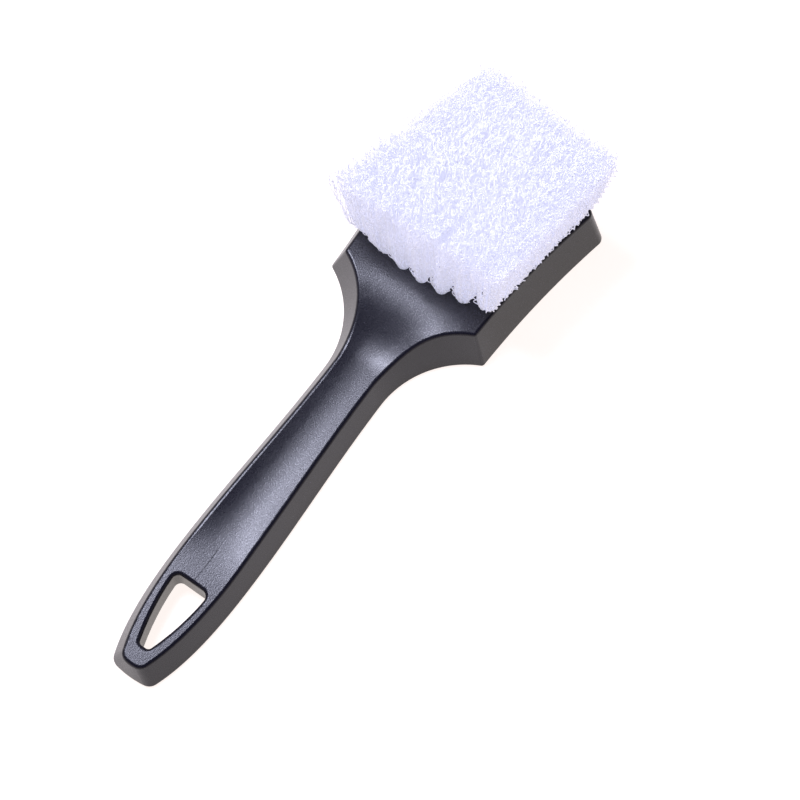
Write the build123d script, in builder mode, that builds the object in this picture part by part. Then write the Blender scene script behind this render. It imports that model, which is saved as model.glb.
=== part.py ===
from build123d import *
import math
import os

# A short-handled wheel brush: one moulded body, crimped nylon tufts and the wire anchors that hold them.
# Millimetres. The brush lies on its back with the bristles up. +X runs along the handle to the head, +Z is
# up, and the origin is the centre of the footprint on the surface that the brush lies on.

# Driving dimensions: the body in plan, at its foot
overall_length = 250.0
grip_station = 54.0           # widest place of the grip, from the handle's end
neck_station = 138.5          # narrowest place, from the handle's end
head_length = 75.5            # near corners to far end
end_width = 18.2
grip_width = 32.4
neck_width = 27.4
head_near_width = 72.5
head_waist = 1.6              # how far the head's long sides bow inwards
head_far_width = 90.0
end_bulge = 1.0
end_slope = 0.42              # the handle's sides leave its end corners at this slope
far_end_bulge = 2.5
end_corner_radius = 4.5
near_corner_radius = 1.6
far_corner_radius = 4.0

# Driving dimensions: the body in height
head_height = 20.7
end_height = 13.0
neck_height = 12.6
rise_length = 34.0            # length of the S-shaped rise from the neck to the head
crest_inset = 4.0             # the rise ends this far past the head's near corners
handle_lean = 20.0            # side walls lean inwards, degrees from upright
head_lean = 16.5
end_lean = 10.3
near_corner_lean = 4.2
far_end_lean = 6.0
dish_radius = 46.0            # the grip's top is hollowed across to this radius
dish_start = 40.0             # the hollow fades in from here, from the handle's end
dish_fade = 34.0
rim_radius = 1.5
foot_radius = 0.9

# Driving dimensions: the hanging hole, a rounded triangle with its point towards the handle's end
hole_start = 10.5
hole_length = 28.8
hole_tip_width = 4.2
hole_wide_width = 14.6
hole_side_bow = 1.1
hole_tip_radius = 1.6
hole_wide_radius = 2.6
hole_rim_radius = 1.4

# Driving dimensions: the tufts
tufts_across = 7
tufts_along = 8
tuft_hole_diameter = 5.2
tuft_hole_depth = 12.0
tuft_clearance = 0.1          # all round a tuft's root, in its hole
near_row_inset = 14.5         # near corner tufts, from the head's near corners
near_row_bow = 5.0            # the nearest row bows this far towards the handle
far_row_inset = 9.0           # far corner tufts, from the far end
far_row_bow = 1.5
near_row_width = 53.0         # between the centres of the outer tufts
far_row_width = 64.0
bristle_length = 37.0         # above the head
pad_near_inset = 8.5          # the trimmed pad stays this far inside the head's near corners
pad_far_inset = 1.0           # and this far inside the far end
pad_near_width = 74.0
pad_far_width = 75.0
tuft_gap = 0.3                # between neighbouring tufts where they fill the pad
spread_height = 9.0           # the tufts have spread out to each other at this height above the head

root_fold_radius = 1.4        # the filaments are folded round the anchor, so a root's end is rounded
tuft_corner_radius = 2.4
neck_step = 0.1               # a tuft is this much slimmer all round where it leaves its hole
neck_flat = 0.2               # half the straight part of each side there

# Driving dimensions: the wire anchors
anchor_wire_height = 1.8
anchor_wire_thickness = 0.5
anchor_bite = 0.5             # how far each end of the wire cuts into the hole's wall
anchor_floor_gap = 2.0        # between the hole's floor and the wire, for the folded filaments
anchor_clearance = 0.04

# How the top surface is drawn: a net of points, and how far the cut shapes run past the body
crown_margin = 1.5            # the leaning walls are drawn this far past the head's top, then cut
crown_end_width = 2.4         # and the handle's narrow end stays at least this wide up there
surface_margin = 6.0
surface_half_width = 46.0
surface_steps_along = 80
surface_steps_across = 12
surface_tolerance = 0.002
corner_reach = 6.0            # a corner's upright edge stands within this distance of the corner
hole_reach = 1.0              # the hanging hole's edges lie within this distance of its outline

# Derived places
end_x = -overall_length / 2
far_x = overall_length / 2
neck_x = end_x + neck_station
corner_x = far_x - head_length
crest_x = corner_x + crest_inset
root_radius = tuft_hole_diameter / 2 - tuft_clearance
hole_floor = head_height - tuft_hole_depth
pad_top = head_height + bristle_length
anchor_low = hole_floor + anchor_floor_gap
anchor_high = anchor_low + anchor_wire_height
anchor_length = tuft_hole_diameter + 2 * anchor_bite
neck_radius = root_radius - neck_step
root_length = tuft_hole_depth - tuft_clearance
foot_zone = end_height / 4    # edges wholly below this height belong to the foot
top_zone = end_height / 2     # edges wholly above this height belong to the top

os.makedirs("parts", exist_ok=True)


def inward(height, angle):
    """How far a leaning wall has come in at a height."""
    return height * math.tan(math.radians(angle))


def blend(amount):
    """Smooth step from 0 to 1."""
    amount = min(max(amount, 0.0), 1.0)
    return (1 - math.cos(math.pi * amount)) / 2


def top_height(x):
    """Height of the handle's top edges, with the S-shaped rise up to the head."""
    along = min((x - end_x) / neck_station, 1.0)
    handle = end_height + (neck_height - end_height) * along
    rise = blend((x - (crest_x - rise_length)) / rise_length)
    return handle + (head_height - handle) * rise


def dish_curvature(x):
    """Curvature across the handle's top: flat at the hanging hole and at the head, hollow between."""
    fade_in = blend((x - end_x - dish_start) / dish_fade)
    fade_out = 1 - blend((x - (crest_x - rise_length)) / rise_length)
    return fade_in * fade_out / dish_radius


def section_of_body(height):
    """The body's plan at a height, drawn as its left half and mirrored."""
    handle_in = inward(height, handle_lean)
    head_in = inward(height, head_lean)
    end_place = end_x + inward(height, end_lean)
    far_place = far_x - inward(height, far_end_lean)
    near = (corner_x + inward(height, near_corner_lean), head_near_width / 2 - head_in)
    far = (far_place - far_end_bulge, head_far_width / 2 - head_in)
    waist = ((near[0] + far[0]) / 2, (near[1] + far[1]) / 2 - head_waist)
    end = (end_place + end_bulge, max(end_width / 2 - handle_in, crown_end_width / 2))
    grip = (end_x + grip_station, grip_width / 2 - handle_in)
    neck = (neck_x, neck_width / 2 - handle_in)
    with BuildSketch(Plane.XY.offset(height)) as plan:
        with BuildLine():
            TangentArc((end_place, 0), end, tangent=(0, 1))
            Spline(end, grip, neck, tangents=((1, end_slope), (1, 0)))
            TangentArc(neck, near, tangent=(1, 0))
            ThreePointArc(near, waist, far)
            TangentArc((far_place, 0), far, tangent=(0, 1))
            mirror(about=Plane.XZ)
        make_face()
    return plan.sketch


def top_point(x, y):
    """A point of the body's top surface: the side profile, hollowed across the grip."""
    return Vector(x, y, top_height(x) + dish_curvature(x) * y**2 / 2)


def steps(low, high, count):
    """Evenly spaced places from low to high."""
    return [low + (high - low) * index / count for index in range(count + 1)]


def upright_edges(low_x, high_x):
    """The edges where two side walls meet, between two places along the body."""
    edges = handle_block.edges().filter_by_position(Axis.X, low_x, high_x)
    edges = edges.filter_by(lambda edge: edge.bounding_box().size.Z > foot_zone)
    return edges.filter_by(lambda edge: abs(edge.center().Y) > end_corner_radius / 2)


def above(edges, height):
    """The edges that lie wholly above a height."""
    return edges.filter_by(lambda edge: edge.bounding_box().min.Z > height)


def below(edges, height):
    """The edges that lie wholly below a height."""
    return edges.filter_by(lambda edge: edge.bounding_box().max.Z < height)


def tuft_column(column):
    """Place of a column across the head, from -1 on the right to 1 on the left."""
    return 2 * column / (tufts_across - 1) - 1


def tuft_root(row, column):
    """Centre of a tuft's hole in the head's top. Rows fan out and bow, as the head's outline does."""
    side = tuft_column(column)
    share = row / (tufts_along - 1)
    bulge = 1 - side**2
    near = corner_x + near_row_inset - near_row_bow * bulge
    far = far_x - far_row_inset + far_row_bow * bulge
    half_width = (near_row_width + (far_row_width - near_row_width) * share) / 2
    return near + (far - near) * share, side * half_width


def tuft_tip(row, column):
    """Centre of a tuft's cell in the trimmed top of the pad."""
    near = corner_x + pad_near_inset
    far = far_x - pad_far_inset
    share = (row + 0.5) / tufts_along
    width = pad_near_width + (pad_far_width - pad_near_width) * share
    return near + (far - near) * share, (column + 0.5 - tufts_across / 2) * width / tufts_across


def tuft_cell(place, row, column):
    """Length and width that a tuft can fill, from the distance to its neighbours."""
    near_row, far_row = (row, row + 1) if row < tufts_along - 1 else (row - 1, row)
    right, left = (column, column + 1) if column < tufts_across - 1 else (column - 1, column)
    length = place(far_row, column)[0] - place(near_row, column)[0]
    width = place(row, left)[1] - place(row, right)[1]
    return length - tuft_gap, width - tuft_gap


# The moulded body: leaning side walls, the shaped top, rounded edges, then the holes
foot = section_of_body(0)
crown = section_of_body(head_height + crown_margin)
grid = [
    [top_point(x, y) for y in steps(-surface_half_width, surface_half_width, surface_steps_across)]
    for x in steps(end_x - surface_margin, far_x + surface_margin, surface_steps_along)
]
top_surface = Face.make_surface_from_array_of_points(grid, tol=surface_tolerance, min_deg=3, max_deg=5)
tuft_keys = [(row, column) for row in range(tufts_along) for column in range(tufts_across)]
tuft_roots = [tuft_root(row, column) for row, column in tuft_keys]

with BuildPart() as handle_block:
    loft([foot, crown])
    extrude(top_surface, amount=2 * head_height, dir=(0, 0, 1), mode=Mode.SUBTRACT)
    fillet(upright_edges(end_x, end_x + 2 * end_corner_radius), end_corner_radius)
    fillet(upright_edges(corner_x - corner_reach, corner_x + corner_reach), near_corner_radius)
    fillet(upright_edges(far_x - corner_reach, far_x), far_corner_radius)
    fillet(above(handle_block.edges(), top_zone), rim_radius)
    fillet(below(handle_block.edges(), foot_zone), foot_radius)

    hole_near = end_x + hole_start
    hole_far = hole_near + hole_length
    bowed_width = (hole_tip_width + hole_wide_width) / 4 + hole_side_bow
    with BuildSketch() as hanging_hole:
        with BuildLine():
            Line((hole_near, -hole_tip_width / 2), (hole_near, hole_tip_width / 2))
            ThreePointArc(
                (hole_near, hole_tip_width / 2),
                ((hole_near + hole_far) / 2, bowed_width),
                (hole_far, hole_wide_width / 2),
            )
            Line((hole_far, hole_wide_width / 2), (hole_far, -hole_wide_width / 2))
            ThreePointArc(
                (hole_far, -hole_wide_width / 2),
                ((hole_near + hole_far) / 2, -bowed_width),
                (hole_near, -hole_tip_width / 2),
            )
        make_face()
        corners = hanging_hole.vertices()
        fillet(corners.sort_by(Axis.X)[:2], hole_tip_radius)
        corners = hanging_hole.vertices()
        fillet(corners.sort_by(Axis.X)[-2:], hole_wide_radius)
    extrude(amount=head_height, mode=Mode.SUBTRACT)
    hole_edges = handle_block.edges(Select.LAST)
    fillet(above(hole_edges, top_zone), hole_rim_radius)
    near_place = hole_near - hole_reach
    far_place = hole_far + hole_reach
    hole_edges = handle_block.edges().filter_by_position(Axis.X, near_place, far_place)
    hole_edges = hole_edges.filter_by(lambda edge: abs(edge.center().Y) < hole_wide_width / 2 + hole_reach)
    fillet(below(hole_edges, foot_zone), foot_radius)

    with Locations(*[(x, y, head_height) for x, y in tuft_roots]):
        Hole(tuft_hole_diameter / 2, depth=tuft_hole_depth)
    with Locations(*[(x, y, (anchor_low + anchor_high) / 2) for x, y in tuft_roots]):
        Box(
            anchor_wire_thickness + 2 * anchor_clearance,
            anchor_length + 2 * anchor_clearance,
            anchor_wire_height + 2 * anchor_clearance,
            mode=Mode.SUBTRACT,
        )
handle_block.part.label = "handle_block"
export_step(handle_block.part, "parts/handle_block.step")

# The wire anchors, one across each hole near its floor
with BuildPart() as tuft_anchors:
    with Locations(*[(x, y, (anchor_low + anchor_high) / 2) for x, y in tuft_roots]):
        Box(anchor_wire_thickness, anchor_length, anchor_wire_height)
tuft_anchors.part.label = "tuft_anchors"
export_step(tuft_anchors.part, "parts/tuft_anchors.step")

# The tufts: a round root folded over its anchor, spreading to fill its cell of the pad
spread_share = spread_height / bristle_length
for row, column in tuft_keys:
    root_x, root_y = tuft_root(row, column)
    tip_x, tip_y = tuft_tip(row, column)
    spread_x = root_x + (tip_x - root_x) * spread_share
    spread_y = root_y + (tip_y - root_y) * spread_share
    root_cell = tuft_cell(tuft_root, row, column)
    tip_cell = tuft_cell(tuft_tip, row, column)
    spread_cell = [low + (high - low) * spread_share for low, high in zip(root_cell, tip_cell)]
    with BuildPart() as tuft:
        with Locations((root_x, root_y, hole_floor + tuft_clearance)):
            Cylinder(root_radius, root_length, align=(Align.CENTER, Align.CENTER, Align.MIN))
        fillet(tuft.edges().sort_by(Axis.Z)[0], root_fold_radius)
        with BuildSketch(Plane((root_x, root_y, head_height))) as neck_section:
            RectangleRounded(2 * neck_radius, 2 * neck_radius, neck_radius - neck_flat)
        with BuildSketch(Plane((spread_x, spread_y, head_height + spread_height))) as spread_section:
            RectangleRounded(spread_cell[0], spread_cell[1], tuft_corner_radius)
        with BuildSketch(Plane((tip_x, tip_y, pad_top))) as tip_section:
            RectangleRounded(tip_cell[0], tip_cell[1], tuft_corner_radius)
        loft(ruled=True)
        with Locations((root_x, root_y, (anchor_low + anchor_high) / 2)):
            Box(
                anchor_wire_thickness + 2 * anchor_clearance,
                anchor_length,
                anchor_wire_height + 2 * anchor_clearance,
                mode=Mode.SUBTRACT,
            )
    name = f"tuft_r{row + 1}c{column + 1}"
    tuft.part.label = name
    export_step(tuft.part, f"parts/{name}.step")
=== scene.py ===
# %% [markdown]
# # Wheel brush
# A short-handled brush for tyres and wheels: one moulded black body, and a thick pad of white crimped
# nylon set into its head in 56 tufts. The frame that is loaded here holds the measured parts. The body
# keeps its own mesh and only gets a finish. Each plain tuft solid is replaced by real filaments.

import math
import random

import bmesh
import bpy
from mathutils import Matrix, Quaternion, Vector, noise


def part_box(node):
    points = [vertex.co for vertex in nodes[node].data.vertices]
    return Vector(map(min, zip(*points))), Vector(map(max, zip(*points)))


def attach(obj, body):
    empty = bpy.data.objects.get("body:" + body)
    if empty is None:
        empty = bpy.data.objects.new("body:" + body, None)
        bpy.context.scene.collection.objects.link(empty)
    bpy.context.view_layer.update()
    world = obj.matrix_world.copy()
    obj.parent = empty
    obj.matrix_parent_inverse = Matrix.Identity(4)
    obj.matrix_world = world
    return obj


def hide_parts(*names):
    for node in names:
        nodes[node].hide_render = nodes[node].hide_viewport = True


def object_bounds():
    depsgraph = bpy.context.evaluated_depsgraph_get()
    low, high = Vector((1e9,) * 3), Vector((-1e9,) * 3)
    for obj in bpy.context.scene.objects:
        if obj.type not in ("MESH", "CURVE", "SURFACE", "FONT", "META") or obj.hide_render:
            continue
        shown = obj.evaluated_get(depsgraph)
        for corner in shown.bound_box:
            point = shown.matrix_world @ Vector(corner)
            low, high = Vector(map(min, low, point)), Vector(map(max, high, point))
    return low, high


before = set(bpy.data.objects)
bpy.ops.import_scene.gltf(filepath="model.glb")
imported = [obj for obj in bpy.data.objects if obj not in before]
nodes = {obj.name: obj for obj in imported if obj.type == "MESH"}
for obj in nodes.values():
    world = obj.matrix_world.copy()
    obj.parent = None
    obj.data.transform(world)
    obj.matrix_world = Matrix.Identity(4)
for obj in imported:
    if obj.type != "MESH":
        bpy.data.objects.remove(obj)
frame_low, frame_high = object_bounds()
scene = bpy.context.scene
mm = 0.001
print("frame box, mm:", [round(side / mm, 1) for side in frame_high - frame_low])

# %% [markdown]
# ## Helpers for finishes
# Finishes are built from nodes. A colour is written as its sRGB hex value, as a paint chart gives it, and
# one function turns it linear. One more function adds a node, so that each finish reads as a short list.


# %% Colour and node helpers
def linear(code):
    """The linear colour of an sRGB hex value such as '#1b1b1f'."""
    parts = [int(code[place : place + 2], 16) / 255 for place in (1, 3, 5)]
    levels = [p / 12.92 if p <= 0.04045 else ((p + 0.055) / 1.055) ** 2.4 for p in parts]
    return (*levels, 1.0)


def new_finish(name):
    """A new material and its main shader."""
    finish = bpy.data.materials.new(name)
    finish.use_nodes = True
    return finish, finish.node_tree.nodes["Principled BSDF"]


def add_node(finish, kind, values=None, **settings):
    """Add a node. Settings are its properties, values go to its inputs, and a socket is linked."""
    node = finish.node_tree.nodes.new(kind)
    for key, setting in settings.items():
        setattr(node, key, setting)
    for key, value in (values or {}).items():
        set_input(finish, node, key, value)
    return node


def set_input(finish, node, key, value):
    """Give one input a value, or link a socket to it."""
    if isinstance(value, bpy.types.NodeSocket):
        finish.node_tree.links.new(value, node.inputs[key])
    else:
        node.inputs[key].default_value = value


print("helpers ready")

# %% [markdown]
# ## The body's finish: moulded polypropylene
# The body is injection moulded in black polypropylene. Its top is spark-eroded in the tool, which leaves a
# satin grain of about 0.4 mm, and its side walls come out smoother, because they slide along the tool as
# the part is ejected. The grain is a bump from a noise, faded down where the surface stands upright.

# %% Body finish
grain_size = 0.42 * mm
grain_depth = 0.06 * mm
wall_facing = 0.45
top_facing = 0.75
wall_grain_share = 0.25
cloud_repeats = 38.0
speck_spacing = 5.5 * mm
speck_core = 0.022
speck_edge = 0.034

body_finish, body_shader = new_finish("moulded black polypropylene")
place = add_node(body_finish, "ShaderNodeTexCoord").outputs["Object"]
facing = add_node(body_finish, "ShaderNodeNewGeometry").outputs["Normal"]
facing_up = add_node(body_finish, "ShaderNodeSeparateXYZ", {"Vector": facing}).outputs["Z"]
on_top = add_node(
    body_finish,
    "ShaderNodeMapRange",
    {"Value": facing_up, "From Min": wall_facing, "From Max": top_facing, "To Min": wall_grain_share},
).outputs["Result"]

grain = add_node(
    body_finish,
    "ShaderNodeTexNoise",
    {"Vector": place, "Scale": 1 / grain_size, "Detail": 1.5, "Roughness": 0.6},
).outputs["Fac"]
cloud = add_node(
    body_finish, "ShaderNodeTexNoise", {"Vector": place, "Scale": cloud_repeats, "Detail": 3.0}
).outputs["Fac"]
specks = add_node(
    body_finish, "ShaderNodeTexVoronoi", {"Vector": place, "Scale": 1 / speck_spacing, "Randomness": 1.0}
).outputs["Distance"]
speck = add_node(
    body_finish,
    "ShaderNodeMapRange",
    {"Value": specks, "From Min": speck_core, "From Max": speck_edge, "To Min": 1.0, "To Max": 0.0},
).outputs["Result"]
print("grain", round(grain_size / mm, 2), "mm; a dust speck every", round(speck_spacing / mm, 1), "mm")

# %% [markdown]
# The molten plastic flows round the hanging hole and meets again behind it, which leaves a weld line along
# the middle. The line is drawn from the coordinates: the distance from the middle, less a slow wander,
# kept only between its two ends. It sinks the bump a little.

# %% Weld line
weld_start = frame_low.x + 39.0 * mm
weld_end = weld_start + 21.8 * mm
weld_fade = 8.0 * mm
weld_half_width = 0.22 * mm
weld_wander = 0.5 * mm
wander_repeats = 60.0

split = add_node(body_finish, "ShaderNodeSeparateXYZ", {"Vector": place})
along, across = split.outputs["X"], split.outputs["Y"]
wander = add_node(
    body_finish, "ShaderNodeTexNoise", {"Vector": place, "Scale": wander_repeats, "Detail": 0.0}
).outputs["Fac"]
wander_offset = add_node(
    body_finish,
    "ShaderNodeMapRange",
    {"Value": wander, "To Min": -weld_wander, "To Max": weld_wander},
).outputs["Result"]
off_line = add_node(
    body_finish, "ShaderNodeMath", {0: across, 1: wander_offset}, operation="SUBTRACT"
).outputs[0]
distance = add_node(body_finish, "ShaderNodeMath", {0: off_line}, operation="ABSOLUTE").outputs[0]
near_line = add_node(
    body_finish,
    "ShaderNodeMapRange",
    {"Value": distance, "From Max": weld_half_width, "To Min": 1.0, "To Max": 0.0},
    interpolation_type="SMOOTHSTEP",
).outputs["Result"]
before_end = add_node(
    body_finish,
    "ShaderNodeMapRange",
    {
        "Value": along,
        "From Min": weld_end - weld_fade,
        "From Max": weld_end,
        "To Min": 1.0,
        "To Max": 0.0,
    },
).outputs["Result"]
after_start = add_node(
    body_finish, "ShaderNodeMath", {0: along, 1: weld_start}, operation="GREATER_THAN"
).outputs[0]
within = add_node(
    body_finish, "ShaderNodeMath", {0: before_end, 1: after_start}, operation="MULTIPLY"
).outputs[0]
weld = add_node(body_finish, "ShaderNodeMath", {0: near_line, 1: within}, operation="MULTIPLY").outputs[0]
print("weld line", round((weld_end - weld_start) / mm, 1), "mm long")

# %% [markdown]
# Polypropylene has an index of refraction of 1.49, and its grain shades itself, so it reflects a little
# less than a polished face. The roughness follows the grain. A few specks of pale dust lie on it, as on
# any black plastic.

# %% Join the body finish
grain_low = 0.3
grain_high = 0.7
roughness_low = 0.24
roughness_high = 0.36
bump_strength = 0.8
polypropylene_index = 1.49
reflection_level = 0.42

body_roughness = add_node(
    body_finish,
    "ShaderNodeMapRange",
    {
        "Value": grain,
        "From Min": grain_low,
        "From Max": grain_high,
        "To Min": roughness_low,
        "To Max": roughness_high,
    },
).outputs["Result"]
body_colour = add_node(
    body_finish,
    "ShaderNodeMix",
    {"Factor": cloud, "A": linear("#0c0b14"), "B": linear("#13121d")},
    data_type="RGBA",
)
dusty_colour = add_node(
    body_finish, "ShaderNodeMix", {"Factor": speck, "B": linear("#5c5b61")}, data_type="RGBA"
)
body_finish.node_tree.links.new(body_colour.outputs["Result"], dusty_colour.inputs["A"])
grain_height = add_node(
    body_finish, "ShaderNodeMath", {0: grain, 1: on_top}, operation="MULTIPLY"
).outputs[0]
surface_height = add_node(
    body_finish, "ShaderNodeMath", {0: grain_height, 1: weld}, operation="SUBTRACT"
).outputs[0]
body_bump = add_node(
    body_finish,
    "ShaderNodeBump",
    {"Height": surface_height, "Distance": grain_depth, "Strength": bump_strength},
).outputs["Normal"]
set_input(body_finish, body_shader, "Base Color", dusty_colour.outputs["Result"])
set_input(body_finish, body_shader, "Roughness", body_roughness)
set_input(body_finish, body_shader, "Normal", body_bump)
set_input(body_finish, body_shader, "IOR", polypropylene_index)
set_input(body_finish, body_shader, "Specular IOR Level", reflection_level)

body = nodes["handle_block"]
body.data.materials.clear()
body.data.materials.append(body_finish)
print("body finish on", body.name)

# %% [markdown]
# ## The wire anchors
# Each tuft is folded over a short flat wire that is punched into the plastic. The anchors are drawn steel
# with fine lines along the draw, and hardly show between the filaments, but they are real pieces.

# %% Anchor finish
draw_line = 0.12 * mm
draw_stretch = 0.04
anchor_finish, anchor_shader = new_finish("drawn steel wire")
anchor_place = add_node(anchor_finish, "ShaderNodeTexCoord").outputs["Object"]
stretched = add_node(
    anchor_finish, "ShaderNodeMapping", {"Vector": anchor_place, "Scale": (1.0, draw_stretch, 1.0)}
).outputs["Vector"]
draw_marks = add_node(
    anchor_finish, "ShaderNodeTexNoise", {"Vector": stretched, "Scale": 1 / draw_line, "Detail": 2.0}
).outputs["Fac"]
anchor_roughness = add_node(
    anchor_finish, "ShaderNodeMapRange", {"Value": draw_marks, "To Min": 0.22, "To Max": 0.5}
).outputs["Result"]
set_input(anchor_finish, anchor_shader, "Base Color", linear("#b9b9bd"))
set_input(anchor_finish, anchor_shader, "Metallic", 1.0)
set_input(anchor_finish, anchor_shader, "Roughness", anchor_roughness)

anchors = nodes["tuft_anchors"]
anchors.data.materials.clear()
anchors.data.materials.append(anchor_finish)
print("anchor finish on", anchors.name)

# %% [markdown]
# ## The filaments' finish
# The bristles are white nylon, drawn as round filament. Nylon is a little translucent, and light that gets
# into the pad comes out again further on. The filaments get a weak painted glow in place of that scattered
# light, so the pad stays bright between the strands. A soft patchiness keeps neighbouring tufts from
# looking identical.

# %% Nylon finish
patch_size = 6.0 * mm
# strength of the painted glow: the nylon emits a faint light of its own, in place of light scattered inside
# the pad
painted_glow = 0.28
nylon_roughness = 0.42
nylon_index = 1.53
nylon_finish, nylon_shader = new_finish("white crimped nylon")
nylon_place = add_node(nylon_finish, "ShaderNodeTexCoord").outputs["Object"]
patches = add_node(
    nylon_finish, "ShaderNodeTexNoise", {"Vector": nylon_place, "Scale": 1 / patch_size, "Detail": 4.0}
).outputs["Fac"]
nylon_colour = add_node(
    nylon_finish,
    "ShaderNodeMix",
    {"Factor": patches, "A": linear("#e2e3ef"), "B": linear("#efeffa")},
    data_type="RGBA",
)
set_input(nylon_finish, nylon_shader, "Base Color", nylon_colour.outputs["Result"])
set_input(nylon_finish, nylon_shader, "Roughness", nylon_roughness)
set_input(nylon_finish, nylon_shader, "IOR", nylon_index)
# painted glow: the filaments emit light to stand in for light scattered inside the pad, so the pad stays
# bright between the strands
set_input(nylon_finish, nylon_shader, "Emission Color", linear("#eaebfc"))
set_input(nylon_finish, nylon_shader, "Emission Strength", painted_glow)
print("nylon finish ready")

# %% [markdown]
# ## The shape of one filament
# Filament for wash brushes is crimped between toothed rollers before it is cut, so every strand is a small
# wave. The wave keeps the pad open and holds foam. A strand leaves its hole inside a tight round bundle,
# fans out within a few millimetres until it meets its neighbours, and then rises to the trimmed top.
#
# It could be a hair system or a swept curve. A swept curve is chosen, because it stays real geometry in
# every export. The section is a triangle, which is enough for a strand under half a millimetre thick.

# %% Sizes of the filaments
strand_radius = 0.20 * mm
strands_per_tuft = 140
crimp_length = 4.6 * mm
crimp_depth = 0.55 * mm
spread_height = 6.5 * mm
bundle_radius = 2.3 * mm
outer_segments = 48
inner_segments = 22
trim_unevenness = 0.9 * mm
stray = 0.9 * mm
slow_bend = 1.8 * mm
cell_overlap = 1.16
buried_length = 4.0 * mm
bend_number = 5
fan_share = 0.45
bundled_crimp = 0.35
crimp_roundness = 0.35
bend_repeats = 90.0
print(strands_per_tuft, "strands in each tuft")

# %% [markdown]
# The places come from the frame: the ring of points at a tuft solid's foot gives its hole, and the points
# at its top give the cell that it fills in the trimmed pad.


# %% Read a tuft's places
def middle_and_size(points):
    """Middle and size, seen from above, of some points."""
    low = Vector((min(p.x for p in points), min(p.y for p in points)))
    high = Vector((max(p.x for p in points), max(p.y for p in points)))
    return (low + high) / 2, high - low


def tuft_places(node):
    """The middle of a tuft's hole, and the middle and size of its cell in the pad's top."""
    points = [vertex.co for vertex in node.data.vertices]
    top = max(point.z for point in points)
    foot = min(point.z for point in points)
    hole, _ = middle_and_size([point for point in points if point.z < foot + mm])
    cell, cell_size = middle_and_size([point for point in points if point.z > top - mm])
    return hole, cell, cell_size


tuft_names = sorted(name for name in nodes if name.startswith("tuft_r"))
pad_top = max(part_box(name)[1].z for name in tuft_names)
places = {name: tuft_places(nodes[name]) for name in tuft_names}
cells = [cell for _, cell, _ in places.values()]
pad_low = Vector((min(cell.x for cell in cells), min(cell.y for cell in cells)))
pad_high = Vector((max(cell.x for cell in cells), max(cell.y for cell in cells)))
pad_span = pad_high - pad_low
head_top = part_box("handle_block")[1].z
print(len(tuft_names), "tufts; pad top at", round(pad_top / mm, 1), "mm")

# %% [markdown]
# A real pad isn't trimmed square to the head. This one leans over at its far left corner and flares at its
# near right one, and the tufts of the front row part a little right of the middle. The lean is a shift at
# each corner of the pad, mixed between them.

# %% How the pad leans
corner_shift = {
    (0, 0): Vector((1.5, 4.0)) * mm,
    (0, 1): Vector((1.5, 3.0)) * mm,
    (1, 0): Vector((3.0, -3.5)) * mm,
    (1, 1): Vector((7.0, -15.0)) * mm,
}
parting_place = Vector((58.0, -10.0)) * mm
parting_width = 5.0 * mm
parting_reach = 16.0 * mm
parting_shift = 1.8 * mm


def pad_lean(spot):
    """How far the trimmed top has shifted at a spot, given from above."""
    far = (spot.x - pad_low.x) / pad_span.x
    left = (spot.y - pad_low.y) / pad_span.y
    shift = Vector((0.0, 0.0))
    for (at_far, at_left), corner in corner_shift.items():
        share = (far if at_far else 1 - far) * (left if at_left else 1 - left)
        shift = shift + corner * share
    return shift


def parting(spot):
    """How far the front tufts are pushed apart at a spot."""
    gap = spot.y - parting_place.y
    beyond = max(0, spot.x - parting_place.x)
    fade = math.exp(-((gap / parting_width) ** 2)) * math.exp(-beyond / parting_reach)
    return Vector((0.0, math.copysign(parting_shift * fade, gap)))


def top_shift(spot):
    """The whole shift of the trimmed top at a spot."""
    return pad_lean(spot) + parting(spot)


print("far left corner leans", round(corner_shift[(1, 1)].length / mm, 1), "mm")


# %% [markdown]
# A strand's path is a straight rise with three things added: the fan from the bundle, the crimp, and a
# slow bend. The fan follows a quarter of an ellipse, steep sideways at first, so that a tuft's foot is
# rounded like the bottom of a sack. The crimp is deepest in the outermost strands, which nothing holds.


# %% Path of one strand
def strand_path(draw, hole, cell, cell_size, segments):
    """Points of one crimped strand, from inside its hole to its trimmed tip."""
    angle = draw.uniform(0, 2 * math.pi)
    reach = math.sqrt(draw.random())
    circle = Vector((math.cos(angle), math.sin(angle))) * reach
    square = circle / max(abs(math.cos(angle)), abs(math.sin(angle)))
    tip = cell + Vector((square.x * cell_size.x, square.y * cell_size.y)) * cell_overlap / 2
    tip = tip + top_shift(tip) + Vector((draw.gauss(0, stray), draw.gauss(0, stray)))
    start = hole + circle * bundle_radius
    top = pad_top + draw.uniform(-trim_unevenness, 0.3 * trim_unevenness)
    bottom = head_top - buried_length
    crimp_angle = draw.uniform(0, 2 * math.pi)
    crimp_side = Vector((math.cos(crimp_angle), math.sin(crimp_angle)))
    crimp_turn = Vector((-crimp_side.y, crimp_side.x))
    phase = draw.uniform(0, 2 * math.pi)
    length = crimp_length * draw.uniform(0.9, 1.12)
    depth = crimp_depth * draw.uniform(0.75, 1.2) * (0.7 + 0.7 * reach**2)
    bend_seed = draw.uniform(0, 100)
    path = []
    for step in range(segments + 1):
        z = bottom + (top - bottom) * step / segments
        height = max(0.0, z - head_top)
        rise = height / (top - head_top)
        fan = math.sqrt(1 - (1 - min(height / spread_height, 1.0)) ** 2)
        fanned = start + (tip - start) * (fan_share * fan + (1 - fan_share) * rise)
        turn = 2 * math.pi * (z - bottom) / length + phase
        loose = bundled_crimp + (1 - bundled_crimp) * fan
        crimp = crimp_side * math.sin(turn) + crimp_turn * crimp_roundness * math.cos(turn)
        bend = noise.noise_vector(Vector((bend_seed, bend_seed / 3, bend_repeats * height)))
        spot = fanned + crimp * depth * loose + bend.xy * slow_bend * rise
        path.append((spot.x, spot.y, z))
    return path


print("a strand is", round((pad_top - head_top) / mm, 1), "mm long above the head")

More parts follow.
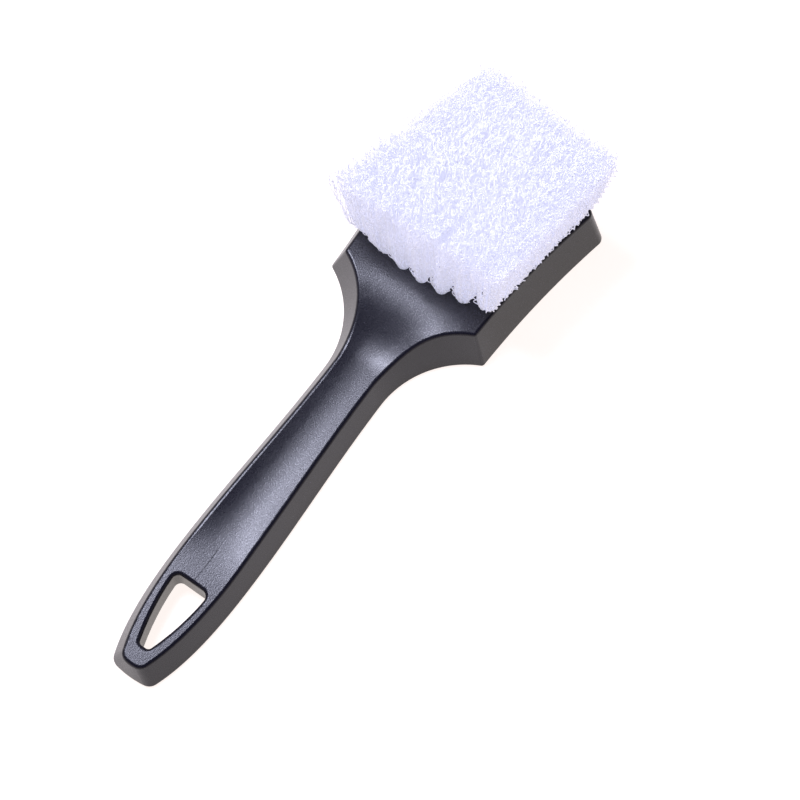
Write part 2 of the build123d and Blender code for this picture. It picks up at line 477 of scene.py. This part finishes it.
# %% [markdown]
# The paths of one tuft become one curve with many splines. Blender sweeps the triangle along all of them
# at once and closes their ends, and the result is kept as a mesh.

# %% Section of the filament
section_curve = bpy.data.curves.new("strand_section", "CURVE")
section_line = section_curve.splines.new("POLY")
section_line.points.add(2)
for corner in range(3):
    turn = 2 * math.pi * corner / 3
    section_line.points[corner].co = (strand_radius * math.cos(turn), strand_radius * math.sin(turn), 0, 1)
section_line.use_cyclic_u = True
section = bpy.data.objects.new("strand_section", section_curve)
scene.collection.objects.link(section)
print("section with", len(section_line.points), "corners")


# %% Sweep a tuft
join_distance = 0.002 * mm  # points this close are one point of a strand's closed end


def sweep(name, paths):
    """One mesh of strands, swept along their paths."""
    curve = bpy.data.curves.new(name, "CURVE")
    curve.dimensions = "3D"
    curve.bevel_mode = "OBJECT"
    curve.bevel_object = section
    curve.use_fill_caps = True
    for path in paths:
        spline = curve.splines.new("POLY")
        spline.points.add(len(path) - 1)
        spline.points.foreach_set("co", [value for point in path for value in (*point, 1.0)])
    swept = bpy.data.objects.new(name, curve)
    scene.collection.objects.link(swept)
    evaluated = swept.evaluated_get(bpy.context.evaluated_depsgraph_get())
    mesh = bpy.data.meshes.new_from_object(evaluated)
    bpy.data.objects.remove(swept)
    shell = bmesh.new()
    shell.from_mesh(mesh)
    bmesh.ops.remove_doubles(shell, verts=shell.verts, dist=join_distance)
    bmesh.ops.recalc_face_normals(shell, faces=shell.faces)
    for face in shell.faces:
        face.smooth = len(face.verts) == 4
    shell.to_mesh(mesh)
    shell.free()
    return mesh


# %% [markdown]
# Every tuft is made with its own seed, and the bends with one more, so the pad comes out the same each
# time. The outer tufts are seen down to the head, so their strands have more points than the inner ones.

# %% Make the tufts
rows = [int(name[6]) for name in tuft_names]
columns = [int(name[8]) for name in tuft_names]
strand_faces = 0
noise.seed_set(bend_number)
for number, name in enumerate(tuft_names):
    draw = random.Random(number)
    hole, cell, cell_size = places[name]
    at_edge = rows[number] in (1, max(rows)) or columns[number] in (1, max(columns))
    segments = outer_segments if at_edge else inner_segments
    paths = [strand_path(draw, hole, cell, cell_size, segments) for _ in range(strands_per_tuft)]
    mesh = sweep("bristles_" + name[5:], paths)
    mesh.materials.clear()
    mesh.materials.append(nylon_finish)
    tuft = bpy.data.objects.new(mesh.name, mesh)
    scene.collection.objects.link(tuft)
    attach(tuft, "root")
    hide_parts(name)
    strand_faces += len(mesh.polygons)
bpy.data.objects.remove(section)
print(len(tuft_names), "tufts,", strand_faces, "faces in all")

# %% [markdown]
# ## The floor
# The brush lies on a plain pale board, lit from behind like a light table, which keeps it white and the
# shadows faint. It is set a hair below the brush's back, so that the two flat surfaces don't share a plane.

# %% Floor
floor_half_side = 4.0
floor_gap = 0.1 * mm
fibre_repeats = 400.0
board_glow = 0.98
floor_finish, floor_shader = new_finish("matt white board")
floor_place = add_node(floor_finish, "ShaderNodeTexCoord").outputs["Object"]
fibre = add_node(
    floor_finish, "ShaderNodeTexNoise", {"Vector": floor_place, "Scale": fibre_repeats, "Detail": 2.0}
).outputs["Fac"]
floor_roughness = add_node(
    floor_finish, "ShaderNodeMapRange", {"Value": fibre, "To Min": 0.8, "To Max": 0.95}
).outputs["Result"]
set_input(floor_finish, floor_shader, "Base Color", linear("#9a9796"))
set_input(floor_finish, floor_shader, "Roughness", floor_roughness)
set_input(floor_finish, floor_shader, "Emission Color", linear("#fff6f1"))
set_input(floor_finish, floor_shader, "Emission Strength", board_glow)

floor_shape = bmesh.new()
bmesh.ops.create_grid(floor_shape, x_segments=1, y_segments=1, size=floor_half_side)
bmesh.ops.translate(floor_shape, verts=floor_shape.verts, vec=(0, 0, -floor_gap))
floor_mesh = bpy.data.meshes.new("floor")
floor_shape.to_mesh(floor_mesh)
floor_shape.free()
floor_mesh.materials.append(floor_finish)
floor = bpy.data.objects.new("floor", floor_mesh)
scene.collection.objects.link(floor)
print("floor", 2 * floor_half_side, "m wide")

# %% [markdown]
# ## Light
# A softbox hangs overhead, to the left of the handle, and gives the soft highlights along the grip and the
# neck. The room is bright and slightly warm around the horizon and dim and blue overhead, so the body's top
# stays darker between its highlights.

# %% Softbox and room
horizon_height = 0.1
ceiling_height = 0.55
room_strength = 0.95
softbox_distance = 1.0
softbox_side = 0.36
softbox_direction = Vector((0.08, 0.42, 0.90)).normalized()
softbox_power = 13.0

softbox_light = bpy.data.lights.new("softbox", "AREA")
softbox_light.shape = "SQUARE"
softbox_light.size = softbox_side
softbox_light.energy = softbox_power
softbox_light.color = linear("#e6e8ff")[:3]
softbox = bpy.data.objects.new("softbox", softbox_light)
softbox.location = softbox_direction * softbox_distance
softbox.rotation_mode = "QUATERNION"
softbox.rotation_quaternion = (-softbox_direction).to_track_quat("-Z", "Y")
scene.collection.objects.link(softbox)

room = bpy.data.worlds.new("white room")
room.use_nodes = True
room_light = room.node_tree.nodes["Background"]
direction = room.node_tree.nodes.new("ShaderNodeTexCoord").outputs["Generated"]
height = room.node_tree.nodes.new("ShaderNodeSeparateXYZ")
room.node_tree.links.new(direction, height.inputs["Vector"])
walls_to_ceiling = room.node_tree.nodes.new("ShaderNodeValToRGB")
walls_to_ceiling.color_ramp.elements[0].position = horizon_height
walls_to_ceiling.color_ramp.elements[0].color = linear("#dccfca")
walls_to_ceiling.color_ramp.elements[1].position = ceiling_height
walls_to_ceiling.color_ramp.elements[1].color = linear("#50536e")
room.node_tree.links.new(height.outputs["Z"], walls_to_ceiling.inputs["Fac"])
room.node_tree.links.new(walls_to_ceiling.outputs["Color"], room_light.inputs["Color"])
room_light.inputs["Strength"].default_value = room_strength
scene.world = room
scene.view_settings.view_transform = "Standard"
print("softbox at", [round(value, 2) for value in softbox.location])

# %% [markdown]
# ## Camera
# The camera looks steeply down along the handle from its end, a little from the right, with a short
# telephoto lens. It is turned a touch about its own axis, so the brush runs from corner to corner.

# %% Camera
look_at = Vector((19.9, -17.8, 0.0)) * mm
look_azimuth = math.radians(33.2)
look_down = math.radians(69.5)
look_distance = 0.797
camera_roll = math.radians(2.2)
focal_length = 94.0
sensor_width = 36.0

look = Vector(
    (
        math.cos(look_azimuth) * math.cos(look_down),
        math.sin(look_azimuth) * math.cos(look_down),
        -math.sin(look_down),
    )
)
camera_data = bpy.data.cameras.new("camera")
camera_data.lens = focal_length
camera_data.sensor_width = sensor_width
camera = bpy.data.objects.new("camera", camera_data)
camera.location = look_at - look * look_distance
camera.rotation_mode = "QUATERNION"
camera.rotation_quaternion = look.to_track_quat("-Z", "Y") @ Quaternion((0, 0, 1), camera_roll)
scene.collection.objects.link(camera)
scene.camera = camera
print("camera at", [round(value, 3) for value in camera.location])
